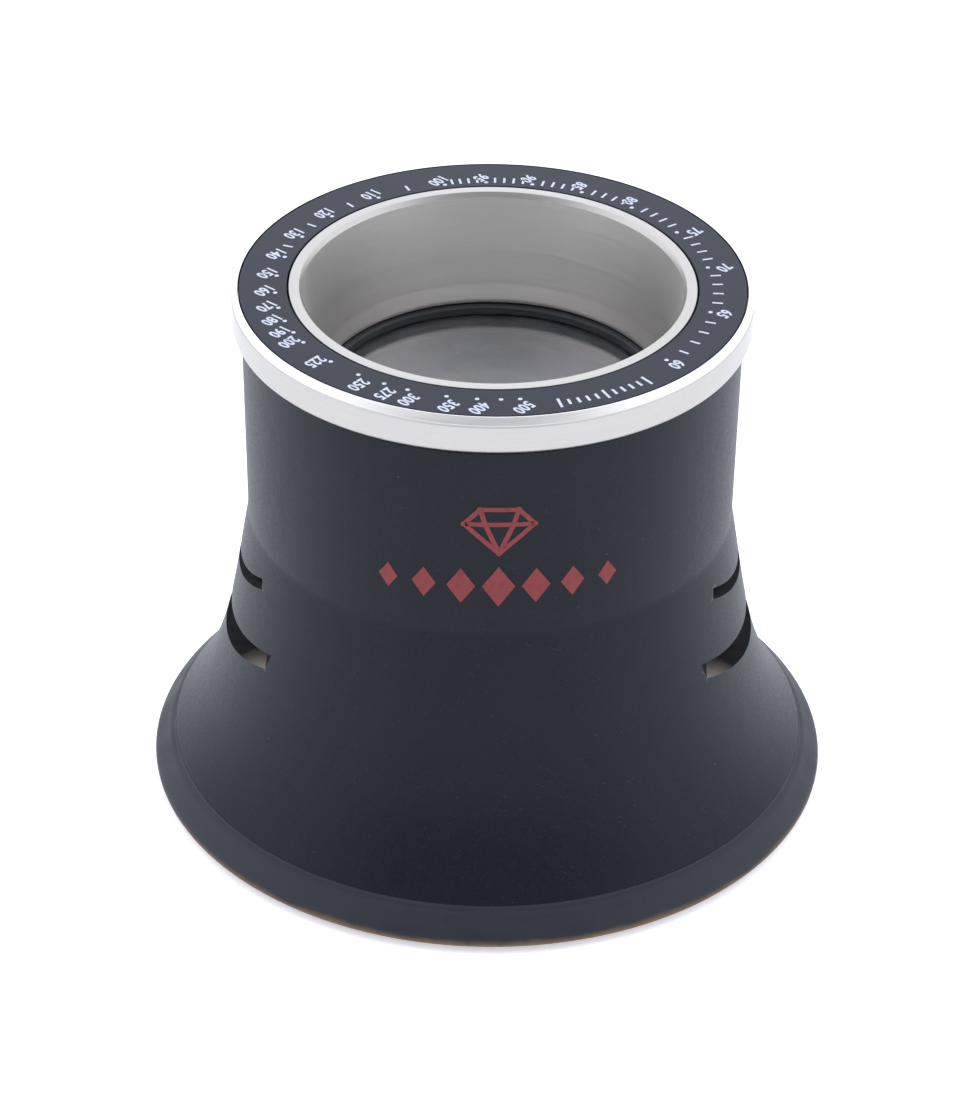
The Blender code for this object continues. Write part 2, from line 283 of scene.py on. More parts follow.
def rim_outline():
    """The soft rim: a lip on the cup's skin, a groove, a crowned edge, a flat foot, a slot for the tongue."""
    outer_root, outer_tip, inner_tip, inner_root, along, normal = tongue()
    skin = outer_root + RIM_REBATE * normal
    lip = skin + RIM_LIP * normal
    groove = lip + RIM_GROOVE[0] * along - RIM_GROOVE[1] * normal
    crown = lip + RIM_CROWN[0] * along - RIM_CROWN[1] * normal
    edge = Vector((RIM_R, RIM_EDGE))
    handles = (crown + RIM_CROWN_HANDLES[0] * along, edge + Vector((0.0, RIM_CROWN_HANDLES[1])))
    outline = [(*lip, 0.05), (*groove, 0.10)]
    outline += [tuple(p) for p in interpolate_bezier(crown, *handles, edge, 16)[:-1]]
    for degrees in range(0, -91, -9):
        angle = math.radians(degrees)
        under = Vector((RIM_UNDERCUT * (math.cos(angle) - 1), RIM_EDGE * math.sin(angle)))
        outline.append(tuple(edge + under))
    outline += [
        (RIM_FOOT_INNER_R, 0.0, 0.15),
        (RIM_FOOT_INNER_R - 0.50, 0.45, 0.20),
        (*(inner_root - 0.50 * normal), 0.12),
        tuple(inner_root - 0.25 * normal),
        tuple(inner_root - GAP * normal + GAP * along),
        tuple(inner_tip - GAP * normal + GAP * along),
        tuple(outer_tip + GAP * normal + GAP * along),
        tuple(outer_root + GAP * normal + GAP * along),
        tuple(skin - 0.1 * normal),
    ]
    return outline


def barrel_outline():
    groove_bottom, groove_top = SEAL_GROOVE
    chamfer_width, chamfer_height = LIP_CHAMFER
    return [
        (LIP_R, TOP, 0.05),
        (LIP_R, SHOULDER_TOP, 0.05),
        (SHOULDER_R, SHOULDER_TOP, 0.08),
        (SHOULDER_R, groove_top, 0.04),
        (SEAL_GROOVE_R, groove_top, 0.08),
        (SEAL_GROOVE_R, groove_bottom, 0.08),
        (SHOULDER_R, groove_bottom, 0.04),
        (SHOULDER_R, SEAL_FLOOR, 0.06),
        (SPIGOT_R, SEAL_FLOOR - 0.1),
        (SPIGOT_R, THREAD_START, 0.1),
        (TAIL_R, THREAD_START - 0.15, 0.1),
        (TAIL_R, BARREL_BOTTOM, 0.25),
        (CELL_BORE_R, BARREL_BOTTOM, 0.15),
        (CELL_BORE_R, LEDGE_BOTTOM),
        (BORE_END_R, LEDGE_BOTTOM, 0.08),
        (BORE_END_R, LEDGE_TOP, 0.2),
        *((BORE_END_R + wider, LEDGE_TOP + above, corner) for wider, above, corner in BORE_BELLY),
        (BORE_TOP_R, TOP - chamfer_height, 0.05),
        (BORE_TOP_R + chamfer_width, TOP, 0.04),
    ]


def bezel_outline():
    chamfer_width, chamfer_height = BEZEL_CHAMFER
    floor = INSERT_BOTTOM - GAP
    groove_top = TOP - chamfer_height + 0.05
    return [
        (RECESS_R, TOP, 0.02),
        (BEZEL_R - chamfer_width, TOP, 0.04),
        (BEZEL_R - BEZEL_GROOVE, groove_top, 0.02),
        (BEZEL_R - BEZEL_GROOVE, groove_top - 0.08, 0.01),
        (BEZEL_R, groove_top - 0.11, 0.03),
        (BEZEL_R, BEZEL_BOTTOM, 0.34),
        (LIP_R + GAP, BEZEL_BOTTOM, 0.05),
        (LIP_R + GAP, floor),
        (RECESS_R, floor, 0.03),
    ]


def dome(edge_r, height, steps=22):
    """Points of a spherical cap from the axis to its edge, as (radius, height above the edge)."""
    sphere_r = (edge_r**2 + height**2) / (2 * height)
    points = []
    for i in range(steps + 1):
        r = edge_r * i / steps
        points.append((r, math.sqrt(sphere_r**2 - r**2) - sphere_r + height))
    return points


def lens_outline(bottom, top, front_height, eye_height):
    """A lens whose ground rim spans bottom to top, with a small bevel and a dome on each face."""
    bevel = 0.12
    polished_r = LENS_R - bevel
    front = [(r, top + h) for r, h in dome(polished_r, front_height)]
    eye = [(r, bottom - h) for r, h in dome(polished_r, eye_height)]
    return [*front, (LENS_R, top - bevel), (LENS_R, bottom + bevel), *eye[::-1]]


def seal_outline(steps=28):
    section_r = (SEAL_TOP - SEAL_BOTTOM) / 2
    centre = Vector((SEAL_R - section_r, (SEAL_TOP + SEAL_BOTTOM) / 2))
    outline = []
    for i in range(steps):
        angle = math.pi / 2 - 2 * math.pi * i / steps
        outline.append(tuple(centre + section_r * Vector((math.cos(angle), math.sin(angle)))))
    return outline


# ---- mesh building -------------------------------------------------------------------------------


def new_object(name, mesh, materials):
    """Takes a bmesh in millimetres and makes it an object in metres."""
    bmesh.ops.scale(mesh, vec=(MM, MM, MM), verts=mesh.verts)
    data = bpy.data.meshes.new(name)
    mesh.to_mesh(data)
    mesh.free()
    for material in materials:
        data.materials.append(material)
    obj = bpy.data.objects.new(name, data)
    bpy.context.scene.collection.objects.link(obj)
    return obj


def finish_shading(obj):
    obj.data.shade_smooth()
    obj.data.set_sharp_from_angle(angle=SHARP)
    weighted = obj.modifiers.new("even_shading", "WEIGHTED_NORMAL")
    weighted.keep_sharp = True


def turned(name, outline, *materials):
    """A solid of revolution about the optical axis. Its outline closes, or starts and ends on the axis."""
    points = rounded(outline)
    mesh = bmesh.new()
    rows = []
    for r, z in points:
        if r < 1e-6:
            rows.append([mesh.verts.new((0, 0, z))] * SIDES)
            continue
        angles = [2 * math.pi * i / SIDES for i in range(SIDES)]
        rows.append([mesh.verts.new((r * math.cos(a), r * math.sin(a), z)) for a in angles])
    pairs = list(zip(rows, rows[1:]))
    if points[0].x >= 1e-6:
        pairs.append((rows[-1], rows[0]))
    for upper, lower in pairs:
        for i in range(SIDES):
            j = (i + 1) % SIDES
            corners = dict.fromkeys((upper[i], lower[i], lower[j], upper[j]))
            mesh.faces.new(list(corners))
    return new_object(name, mesh, materials)


def helix(name, centre_r, turns, depth=THREAD_DEPTH, per_turn=96):
    """A V-section bar along the thread, tapering out at both ends."""
    first, last = turns
    count = round((last - first) * per_turn) + 1
    mesh = bmesh.new()
    sections = []
    for i in range(count):
        turn = first + i / per_turn
        angle = 2 * math.pi * turn
        size = depth * min(1.0, 0.3 + 0.7 * min(i, count - 1 - i) / (per_turn / 6))
        section = []
        for out, up in ((size, 0.0), (0.0, size), (-size, 0.0), (0.0, -size)):
            r = centre_r + out
            z = THREAD_START + PITCH * turn + up
            section.append(mesh.verts.new((r * math.cos(angle), r * math.sin(angle), z)))
        sections.append(section)
    for a, b in zip(sections, sections[1:]):
        for k in range(4):
            n = (k + 1) % 4
            mesh.faces.new((a[k], b[k], b[n], a[n]))
    mesh.faces.new(sections[0])
    mesh.faces.new(sections[-1][::-1])
    bmesh.ops.recalc_face_normals(mesh, faces=mesh.faces)
    return new_object(name, mesh, [])


def block(name, size):
    mesh = bmesh.new()
    bmesh.ops.create_cube(mesh, size=1.0)
    bmesh.ops.scale(mesh, vec=size, verts=mesh.verts)
    return new_object(name, mesh, [])


def combine(obj, others, operation, material_mode="INDEX"):
    """Applies each Boolean in turn, then removes the objects that made them."""
    for other in others:
        modifier = obj.modifiers.new(other.name, "BOOLEAN")
        modifier.operation = operation
        modifier.solver = "EXACT"
        modifier.material_mode = material_mode
        modifier.object = other
    bpy.context.view_layer.update()
    graph = bpy.context.evaluated_depsgraph_get()
    mesh = bpy.data.meshes.new_from_object(obj.evaluated_get(graph))
    obj.modifiers.clear()
    obj.data = mesh
    for other in others:
        bpy.data.objects.remove(other)


def vent_cutters(finish, *floor_finishes):
    """The wedges that cut the vents, two at each side. The lower face of each leaves its own floor finish; as
    called here, every finish carries painted shade and the lower vents' floor finish a painted highlight as
    well.
    """
    cutters = []
    for (top, top_slope, bottom, bottom_slope), floor_finish in zip(VENTS, floor_finishes):
        corners = [top, bottom]
        for (x, z), slope in ((bottom, bottom_slope), (top, top_slope)):
            tilt = math.radians(slope)
            corners.append((x + VENT_REACH * math.cos(tilt), z - VENT_REACH * math.sin(tilt)))
        for turn in (0.0, math.pi):
            mesh = bmesh.new()
            ends = []
            for y in (-VENT_WIDTH / 2, VENT_WIDTH / 2):
                ends.append([mesh.verts.new((x, y, z)) for x, z in corners])
            front, back = ends
            mesh.faces.new(front)
            mesh.faces.new(back[::-1])
            for i in range(4):
                j = (i + 1) % 4
                face = mesh.faces.new((front[i], back[i], back[j], front[j]))
                face.material_index = 1 if i == 1 else 0
            bmesh.ops.recalc_face_normals(mesh, faces=mesh.faces)
            cutter = new_object("vent_cutter", mesh, [finish, floor_finish])
            cutter.rotation_euler.z = turn
            cutters.append(cutter)
    return cutters


def spanner_cuts():
    width, depth = SPANNER_SLOT
    cuts = []
    for side in (1, -1):
        cut = block("spanner_cut", (width, 4.0, 2 * depth))
        cut.location = (0.0, side * LENS_R * MM, RETAINER_BOTTOM * MM)
        cuts.append(cut)
    return cuts


def slab(mesh, corners, bottom, top):
    """A flat prism with the given corners, which run counter-clockwise as seen from above."""
    low = [mesh.verts.new((x, y, bottom)) for x, y in corners]
    high = [mesh.verts.new((x, y, top)) for x, y in corners]
    mesh.faces.new(low[::-1])
    mesh.faces.new(high)
    for i in range(len(corners)):
        j = (i + 1) % len(corners)
        mesh.faces.new((low[i], low[j], high[j], high[i]))


# ---- scale print ---------------------------------------------------------------------------------


def around(azimuth, radius):
    """Point on the scale at that azimuth in degrees."""
    a = math.radians(azimuth)
    return Vector((radius * math.sin(a), -radius * math.cos(a)))


def scale_azimuth(number):
    return SCALE_START - 21600.0 / number


def print_bar(mesh, azimuth, inner, outer, width):
    middle = around(azimuth, 1.0)
    side = Vector((-middle.y, middle.x)) * width / 2
    near, far = middle * inner + SCALE_SHIFT, middle * outer + SCALE_SHIFT
    slab(mesh, [near - side, far - side, far + side, near + side], INK_TOP - INK_THICKNESS, INK_TOP)


def print_dot(mesh, azimuth, radius, size, sides=14):
    centre = around(azimuth, radius) + SCALE_SHIFT
    angles = [2 * math.pi * i / sides for i in range(sides)]
    corners = [centre + size * Vector((math.cos(a), math.sin(a))) for a in angles]
    slab(mesh, corners, INK_TOP - INK_THICKNESS, INK_TOP)


def print_number(mesh, number):
    """The number's digits as thin solids. All numbers stand upright toward the azimuth of 60."""
    clockwise = math.radians(21600.0 / number)
    curve = bpy.data.curves.new(f"digits_{number}", "FONT")
    curve.body = str(number)
    curve.align_x = "CENTER"
    curve.align_y = "CENTER"
    curve.size = DIGIT_SIZE
    curve.space_character = DIGIT_SPACING
    curve.offset = DIGIT_BOLDNESS
    curve.extrude = INK_THICKNESS / 2
    curve.resolution_u = 3
    text = bpy.data.objects.new(curve.name, curve)
    bpy.context.scene.collection.objects.link(text)
    bpy.context.view_layer.update()
    graph = bpy.context.evaluated_depsgraph_get()
    digits = bpy.data.meshes.new_from_object(text.evaluated_get(graph))
    bpy.data.objects.remove(text)
    up = around(SCALE_START, 1.0)
    right = Vector((up.y, -up.x))
    place = around(scale_azimuth(number), DOT_R) + SCALE_SHIFT
    if math.cos(clockwise) > 0:
        aside, above = NUMBER_NEAR_START
        place += right * aside * math.sin(clockwise) + up * above
    else:
        aside, below = NUMBER_FAR_FROM_START
        place += right * aside * math.sin(clockwise) ** 3 - up * below
    turn = Matrix.Rotation(math.atan2(right.y, right.x), 4, "Z")
    narrow = Matrix.Diagonal((DIGIT_NARROWING, 1, 1, 1))
    lifted = Matrix.Translation((place.x, place.y, INK_TOP - INK_THICKNESS / 2))
    digits.transform(lifted @ turn @ narrow)
    mesh.from_mesh(digits)


def scale_print(material):
    numbers = [*range(60, 101, 5), *range(110, 201, 10), *range(225, 301, 25), 350, 400, 500]
    mesh = bmesh.new()
    for number in numbers:
        print_number(mesh, number)
    for number in [*numbers, 450]:
        print_dot(mesh, scale_azimuth(number), DOT_R, DOT_SIZE)
    inner, outer, width = TICK
    ticks = [n for n in range(61, 100) if n % 5] + [105, 115, 125, 135]
    for number in ticks:
        print_bar(mesh, scale_azimuth(number), inner, outer, width)
    start, step, count = TICK_BLOCK
    long, short, width = TICK_BLOCK_SIZE
    for i in range(count):
        half = (short if i % 5 else long) / 2
        print_bar(mesh, start + step * i, TICK_BLOCK_R - half, TICK_BLOCK_R + half, width)
    bmesh.ops.recalc_face_normals(mesh, faces=mesh.faces)
    return new_object("scale_print", mesh, [material])


# ---- red print -----------------------------------------------------------------------------------


def cup_radius(z):
    """Radius of the cup's straight upper wall at height z."""
    return KINK_R + (CUP_TOP_R - KINK_R) * (z - KINK) / (CUP_TOP - KINK)


def ribbon(mesh, a, b, width):
    """A straight printed line from a to b, with square ends that reach half its width past them."""
    a, b = Vector(a), Vector(b)
    along = (b - a).normalized() * width / 2
    side = Vector((-along.y, along.x))
    corners = [a - along - side, b + along - side, b + along + side, a - along + side]
    slab(mesh, corners, *MARK_LIFT)


def lozenge(mesh, x, z, width, height):
    corners = [(x + width / 2, z), (x, z + height / 2), (x - width / 2, z), (x, z - height / 2)]
    slab(mesh, corners, *MARK_LIFT)


def draw_gem(mesh, z, width, height, line_width):
    """Side view of a faceted stone, in lines: table, crown, girdle and pavilion."""
    crown = 0.34 * height
    girdle_z = z + height / 2 - crown
    table = [(-0.27 * width, z + height / 2), (0.27 * width, z + height / 2)]
    girdle = [(-width / 2, girdle_z), (width / 2, girdle_z)]
    inner = [(-0.20 * width, girdle_z), (0.20 * width, girdle_z)]
    culet = (0.0, z - height / 2)
    for a, b in (
        (table[0], table[1]),
        (table[0], girdle[0]),
        (table[1], girdle[1]),
        (girdle[0], girdle[1]),
        (girdle[0], culet),
        (girdle[1], culet),
        (inner[0], culet),
        (inner[1], culet),
        (table[0], inner[0]),
        (table[1], inner[1]),
    ):
        ribbon(mesh, a, b, line_width)


def wrap_on_cup(mesh):
    """Splits flat print into narrow upright strips and bends it round the cup's wall."""
    width = max(abs(v.co.x) for v in mesh.verts)
    strips = int(width / MARK_STRIP) + 1
    for i in range(-strips, strips + 1):
        everything = mesh.verts[:] + mesh.edges[:] + mesh.faces[:]
        place = (i * MARK_STRIP, 0, 0)
        bmesh.ops.bisect_plane(mesh, geom=everything, plane_co=place, plane_no=(1, 0, 0), dist=1e-5)
    for vert in mesh.verts:
        x, z, lift = vert.co
        radius = cup_radius(z) + lift
        angle = x / cup_radius(z) + math.radians(MARK_AZIMUTH)
        vert.co = (radius * math.sin(angle), -radius * math.cos(angle), z)


def cup_mark(material):
    mesh = bmesh.new()
    draw_gem(mesh, GEM_HEIGHT, *GEM_SIZE, GEM_LINE)
    for i in range(-LOZENGES_EACH_SIDE, LOZENGES_EACH_SIDE + 1):
        size = 1.0 - LOZENGE_SHRINK * abs(i)
        width, height = LOZENGE_SIZE
        lozenge(mesh, LOZENGE_PITCH * i, LOZENGE_HEIGHT, width * size, height * size)
    wrap_on_cup(mesh)
    bmesh.ops.recalc_face_normals(mesh, faces=mesh.faces)
    return new_object("cup_mark", mesh, [material])


# ---- materials -----------------------------------------------------------------------------------


class Finish:
    """A Principled material whose nodes work in millimetres of the piece's own space."""

    def __init__(self, name, color, roughness, metallic=0.0, **constants):
        self.material = bpy.data.materials.new(name)
        self.material.use_nodes = True
        self.tree = self.material.node_tree
        self.shader = self.tree.nodes["Principled BSDF"]
        self.set("Base Color", (*color, 1.0))
        self.set("Roughness", roughness)
        self.set("Metallic", metallic)
        for key, value in constants.items():
            self.set(key.replace("_", " "), value)
        self.material.diffuse_color = (*color, 1.0)
        coordinates = self.tree.nodes.new("ShaderNodeTexCoord")
        self.place = self.vector("SCALE", coordinates.outputs["Object"], Scale=1000.0)

    def set(self, socket, value):
        self.shader.inputs[socket].default_value = value

    def add(self, kind, inputs, **settings):
        node = self.tree.nodes.new("ShaderNode" + kind)
        for key, value in settings.items():
            setattr(node, key, value)
        for key, value in inputs.items():
            if isinstance(value, bpy.types.NodeSocket):
                self.tree.links.new(value, node.inputs[key])
            else:
                node.inputs[key].default_value = value
        return node

    def vector(self, operation, a, b=None, **inputs):
        wanted = {0: a, **inputs}
        if b is not None:
            wanted[1] = b
        return self.add("VectorMath", wanted, operation=operation).outputs[0]

    def math(self, operation, a, b=0.0, c=0.0):
        return self.add("Math", {0: a, 1: b, 2: c}, operation=operation).outputs[0]

    def noise(self, scale, detail=2.0, roughness=0.5, vector=None, distortion=0.0):
        inputs = {"Vector": vector or self.place, "Scale": scale, "Detail": detail}
        inputs.update({"Roughness": roughness, "Distortion": distortion})
        return self.add("TexNoise", inputs).outputs["Fac"]

    def spread(self, value, low, high, to_low=0.0, to_high=1.0):
        inputs = {"Value": value, "From Min": low, "From Max": high}
        inputs.update({"To Min": to_low, "To Max": to_high})
        return self.add("MapRange", inputs, clamp=True).outputs["Result"]

    def mix(self, factor, a, b):
        node = self.add("Mix", {}, data_type="RGBA")
        for key, value in (("Factor_Float", factor), ("A_Color", a), ("B_Color", b)):
            socket = next(s for s in node.inputs if s.identifier == key)
            if isinstance(value, bpy.types.NodeSocket):
                self.tree.links.new(value, socket)
            else:
                is_color = isinstance(value, tuple) and len(value) == 3
                socket.default_value = (*value, 1.0) if is_color else value
        return next(s for s in node.outputs if s.identifier == "Result_Color")

    def lathe_grain(self, arc, pitch):
        """Coordinates that stretch a pattern round the axis, arc radians long and pitch mm wide."""
        parts = self.add("SeparateXYZ", {0: self.place}).outputs
        flat = self.add("CombineXYZ", {0: parts[0], 1: parts[1], 2: 0.0}).outputs[0]
        length = self.add("VectorMath", {0: flat}, operation="LENGTH").outputs["Value"]
        unit = self.vector("NORMALIZE", flat)
        swept = self.vector("SCALE", unit, Scale=1.0 / arc)
        across = self.math("MULTIPLY_ADD", length, 0.83, parts[2])
        across = self.math("DIVIDE", across, pitch)
        lifted = self.add("CombineXYZ", {0: 0.0, 1: 0.0, 2: across}).outputs[0]
        return self.vector("ADD", swept, lifted)

    def specks(self, per_mm, size, share):
        """A mask of scattered round specks: size is their radius in mm, share how many cells hold one."""
        cells = self.add("TexVoronoi", {"Vector": self.place, "Scale": per_mm})
        near = self.spread(cells.outputs["Distance"], size * per_mm, 0.5 * size * per_mm)
        chosen = self.add("SeparateColor", {0: cells.outputs["Color"]}).outputs[0]
        return self.math("MULTIPLY", near, self.math("GREATER_THAN", chosen, 1.0 - share))

    def scratches(self, direction, length, width, level):
        """A mask of short straight scratches along one direction."""
        along = Vector(direction).normalized()
        other = along.orthogonal().normalized()
        third = along.cross(other)
        parts = []
        for axis, size in ((along, length), (other, width), (third, width)):
            dot = self.add("VectorMath", {0: self.place, 1: tuple(axis)}, operation="DOT_PRODUCT")
            parts.append(self.math("DIVIDE", dot.outputs["Value"], size))
        vector = self.add("CombineXYZ", dict(enumerate(parts))).outputs[0]
        return self.spread(self.noise(1.0, 0.0, vector=vector), level, level + 0.02)

    def color(self, value):
        self.tree.links.new(value, self.shader.inputs["Base Color"])

    def roughness(self, value):
        self.tree.links.new(value, self.shader.inputs["Roughness"])

    def bumps(self, *layers):
        """Each layer is (height, depth in mm)."""
        normal = None
        for height, depth in layers:
            inputs = {"Height": height, "Distance": depth * MM, "Strength": 1.0}
            if normal is not None:
                inputs["Normal"] = normal
            normal = self.add("Bump", inputs).outputs["Normal"]
        self.tree.links.new(normal, self.shader.inputs["Normal"])


def anodised_cup():
    base, pale = (0.0026, 0.0052, 0.0088), (0.0048, 0.0060, 0.0108)
    finish = Finish("cup_anodised", base, 0.42, Specular_IOR_Level=0.2)
    clouds = finish.noise(0.22, 3.0)
    grain = finish.noise(7.0, 3.0, 0.65)
    tone = finish.mix(finish.spread(clouds, 0.35, 0.65), base, pale)
    tone = finish.mix(finish.spread(grain, 0.56, 0.80, 0.0, 0.6), tone, (0.022, 0.025, 0.032))
    dust = finish.math("MAXIMUM", finish.specks(1.1, 0.035, 0.10), finish.specks(2.3, 0.02, 0.12))
    marks = finish.scratches((0.9, 0.1, -0.5), 1.6, 0.05, 0.80)
    tone = finish.mix(finish.math("MULTIPLY", marks, 0.2), tone, (0.10, 0.105, 0.115))
    tone = finish.mix(finish.math("MULTIPLY", dust, 0.55), tone, (0.24, 0.25, 0.27))
    finish.color(tone)
    finish.roughness(finish.spread(grain, 0.3, 0.7, 0.36, 0.50))
    finish.bumps((grain, 0.006), (finish.noise(1.1, 2.0), 0.010))
    return finish.material


def vent_cut(name, painted_highlight):
    """The milled inside of a vent, with the cutter's fine lines, near black with its reflection turned far
    down: painted shade for the dark slot. Toward its two ends it may carry a warm pale patch, a painted
    highlight on the cut's floor.
    """
    # near-black colour and a reflection turned far down: painted shade that darkens the vent's cut faces like
    # the slot's shade
    color = (0.004, 0.004, 0.005)
    finish = Finish(name, color, 0.7, Specular_IOR_Level=0.04)
    lines = finish.noise(1.0, 2.0, 0.6, vector=finish.lathe_grain(0.5, 0.08))
    tone = finish.mix(finish.spread(lines, 0.3, 0.7), tuple(0.7 * c for c in color), color)
    along = finish.math("ABSOLUTE", finish.add("SeparateXYZ", {0: finish.place}).outputs[1])
    # a warm pale patch painted toward both ends of the cut's floor: a painted highlight where light catches
    # it, not bare metal
    wear_and_painted_light = finish.spread(finish.math("MULTIPLY_ADD", lines, 0.8, along), *VENT_PAINTED_HIGHLIGHT, 0.0, painted_highlight)
    tone = finish.mix(wear_and_painted_light, tone, (0.24, 0.205, 0.175))
    finish.color(tone)
    finish.roughness(finish.spread(lines, 0.3, 0.7, 0.60, 0.76))
    finish.bumps((lines, 0.004))
    return finish.material


def rim_rubber():
    base = (0.0165, 0.0193, 0.0255)
    finish = Finish("rim_rubber", base, 0.55, Specular_IOR_Level=0.3)
    pores = finish.noise(9.0, 2.0, 0.6)
    clouds = finish.noise(0.5, 3.0)
    tone = finish.mix(finish.spread(clouds, 0.35, 0.68), base, (0.023, 0.025, 0.032))
    dust = finish.specks(1.5, 0.03, 0.14)
    tone = finish.mix(finish.math("MULTIPLY", dust, 0.5), tone, (0.2, 0.2, 0.21))
    # a warm brown band painted along the foot, fading upward: a painted warm fringe of light along the rim's
    # lower edge, not a colour of the rubber
    height = finish.add("SeparateXYZ", {0: finish.place}).outputs[2]
    wear_and_painted_light = finish.spread(finish.math("MULTIPLY_ADD", clouds, -0.5, height), 0.58, 0.20, 0.0, 0.9)
    tone = finish.mix(wear_and_painted_light, tone, (0.19, 0.115, 0.055))
    finish.color(tone)
    finish.roughness(finish.spread(clouds, 0.3, 0.7, 0.48, 0.62))
    finish.bumps((pores, 0.006))
    return finish.material


def satin_metal(name, color, low, high, pitch, depth, grooved=0.5):
    """Turned metal: fine lines round the axis, a soft mottle and a few tiny nicks."""
    finish = Finish(name, color, (low + high) / 2, 1.0, Anisotropic=grooved)
    tangent = finish.add("Tangent", {}, direction_type="RADIAL", axis="Z").outputs[0]
    finish.tree.links.new(tangent, finish.shader.inputs["Tangent"])
    lines = finish.noise(1.0, 3.0, 0.7, vector=finish.lathe_grain(0.5, pitch))
    mottle = finish.noise(0.55, 3.0)
    darker = tuple(0.90 * c for c in color)
    tone = finish.mix(finish.spread(lines, 0.3, 0.7), darker, color)
    stain = tuple(0.93 * c for c in color)
    tone = finish.mix(finish.spread(mottle, 0.45, 0.7, 0.0, 0.6), tone, stain)
    nicks = finish.specks(0.9, 0.03, 0.10)
    tone = finish.mix(finish.math("MULTIPLY", nicks, 0.5), tone, tuple(0.55 * c for c in color))
    finish.color(tone)
    finish.roughness(finish.spread(lines, 0.3, 0.7, low, high))
    finish.bumps((lines, depth))
    return finish.material


def scale_black():
    base = (0.0068, 0.0096, 0.018)
    finish = Finish("scale_black", base, 0.38, Specular_IOR_Level=0.22)
    lines = finish.noise(1.0, 3.0, 0.7, vector=finish.lathe_grain(0.6, 0.05))
    tone = finish.mix(finish.spread(lines, 0.3, 0.7), base, (0.011, 0.015, 0.026))
    dust = finish.specks(1.3, 0.035, 0.14)
    tone = finish.mix(finish.math("MULTIPLY", dust, 0.6), tone, (0.3, 0.31, 0.34))
    finish.color(tone)
    finish.roughness(finish.spread(lines, 0.3, 0.7, 0.33, 0.43))
    finish.bumps((lines, 0.0015))
    return finish.material


def ink(name, color, wear_and_painted_light):
    """Screen-printed ink: slightly uneven in density, with pinholes."""
    finish = Finish(name, color, 0.5, Specular_IOR_Level=0.3)
    density = finish.noise(2.2, 3.0, 0.6)
    tone = finish.mix(finish.spread(density, 0.5, 0.8, 0.0, 0.7), color, wear_and_painted_light)
    pinholes = finish.specks(4.0, 0.02, 0.25)
    tone = finish.mix(finish.math("MULTIPLY", pinholes, 0.7), tone, wear_and_painted_light)
    finish.color(tone)
    finish.roughness(finish.spread(density, 0.3, 0.7, 0.42, 0.56))
    finish.bumps((finish.noise(11.0, 2.0), 0.002))
    return finish.material


def matt_black(name, color=(0.026, 0.027, 0.028), roughness=0.6):
    finish = Finish(name, color, roughness, Specular_IOR_Level=0.4)
    lines = finish.noise(1.0, 3.0, 0.7, vector=finish.lathe_grain(0.4, 0.07))
    grain = finish.noise(8.0, 2.0)
    tone = finish.mix(finish.spread(lines, 0.35, 0.7), color, tuple(1.8 * c for c in color))
    finish.color(tone)
    finish.roughness(finish.spread(grain, 0.3, 0.7, roughness - 0.08, roughness + 0.08))
    finish.bumps((lines, 0.003), (grain, 0.002))
    return finish.material


def coated_glass(name, film):
    """Optical glass with a dusty haze and a tinting film, whose thickness wanders round film nanometres."""
    finish = Finish(name, (0.97, 0.98, 0.985), 0.0, IOR=1.60, Transmission_Weight=1.0)
    finish.set("Thin Film IOR", 1.70)
    patches = finish.noise(0.16, 2.0, distortion=0.6)
    thickness = finish.spread(patches, 0.3, 0.7, film - 25.0, film + 25.0)
    finish.tree.links.new(thickness, finish.shader.inputs["Thin Film Thickness"])
    smears = finish.noise(0.35, 3.0, 0.6, distortion=1.2)
    finish.roughness(finish.spread(smears, 0.40, 0.75, 0.05, 0.15))
    clear = finish.spread(smears, 0.30, 0.75, 0.965, 0.92)
    finish.tree.links.new(clear, finish.shader.inputs["Transmission Weight"])
    return finish.material


def ground_glass():
    finish = Finish("ground_edge", (0.03, 0.03, 0.03), 0.7, Specular_IOR_Level=0.4)
    grain = finish.noise(12.0, 2.0)
    finish.color(finish.mix(grain, (0.02, 0.02, 0.02), (0.05, 0.05, 0.05)))
    finish.bumps((grain, 0.004))
    return finish.material


# ---- assembly ------------------------------------------------------------------------------------


def place_piece(piece, body, slot, *nodes):
    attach(piece, body)
    if nodes:
        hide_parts(*nodes)


def build_cup():
    cup = turned("cup_shell", cup_outline(), anodised_cup())
    # the vents' cut faces carry painted shade; the lower vents' floors add a painted highlight toward their
    # ends
    painted_shade_cut = vent_cut("vent_painted_shade", 0.0)
    painted_highlight = vent_cut("vent_painted_highlight", 0.9)
    combine(cup, vent_cutters(painted_shade_cut, painted_shade_cut, painted_highlight), "DIFFERENCE", "TRANSFER")
    combine(cup, [helix("female_thread", FEMALE_CENTRE_R, FEMALE_TURNS)], "DIFFERENCE")
    finish_shading(cup)
    place_piece(cup, "eyecup", "eyecup_shell", "eyecup_shell")

    rim = turned("rim_ring", rim_outline(), rim_rubber())
    finish_shading(rim)
    place_piece(rim, "eyecup", "eye_rim", "eye_rim")

    mark = cup_mark(ink("red_ink", (0.21, 0.029, 0.030), (0.135, 0.021, 0.024)))
    place_piece(mark, "eyecup", "eyecup_shell")


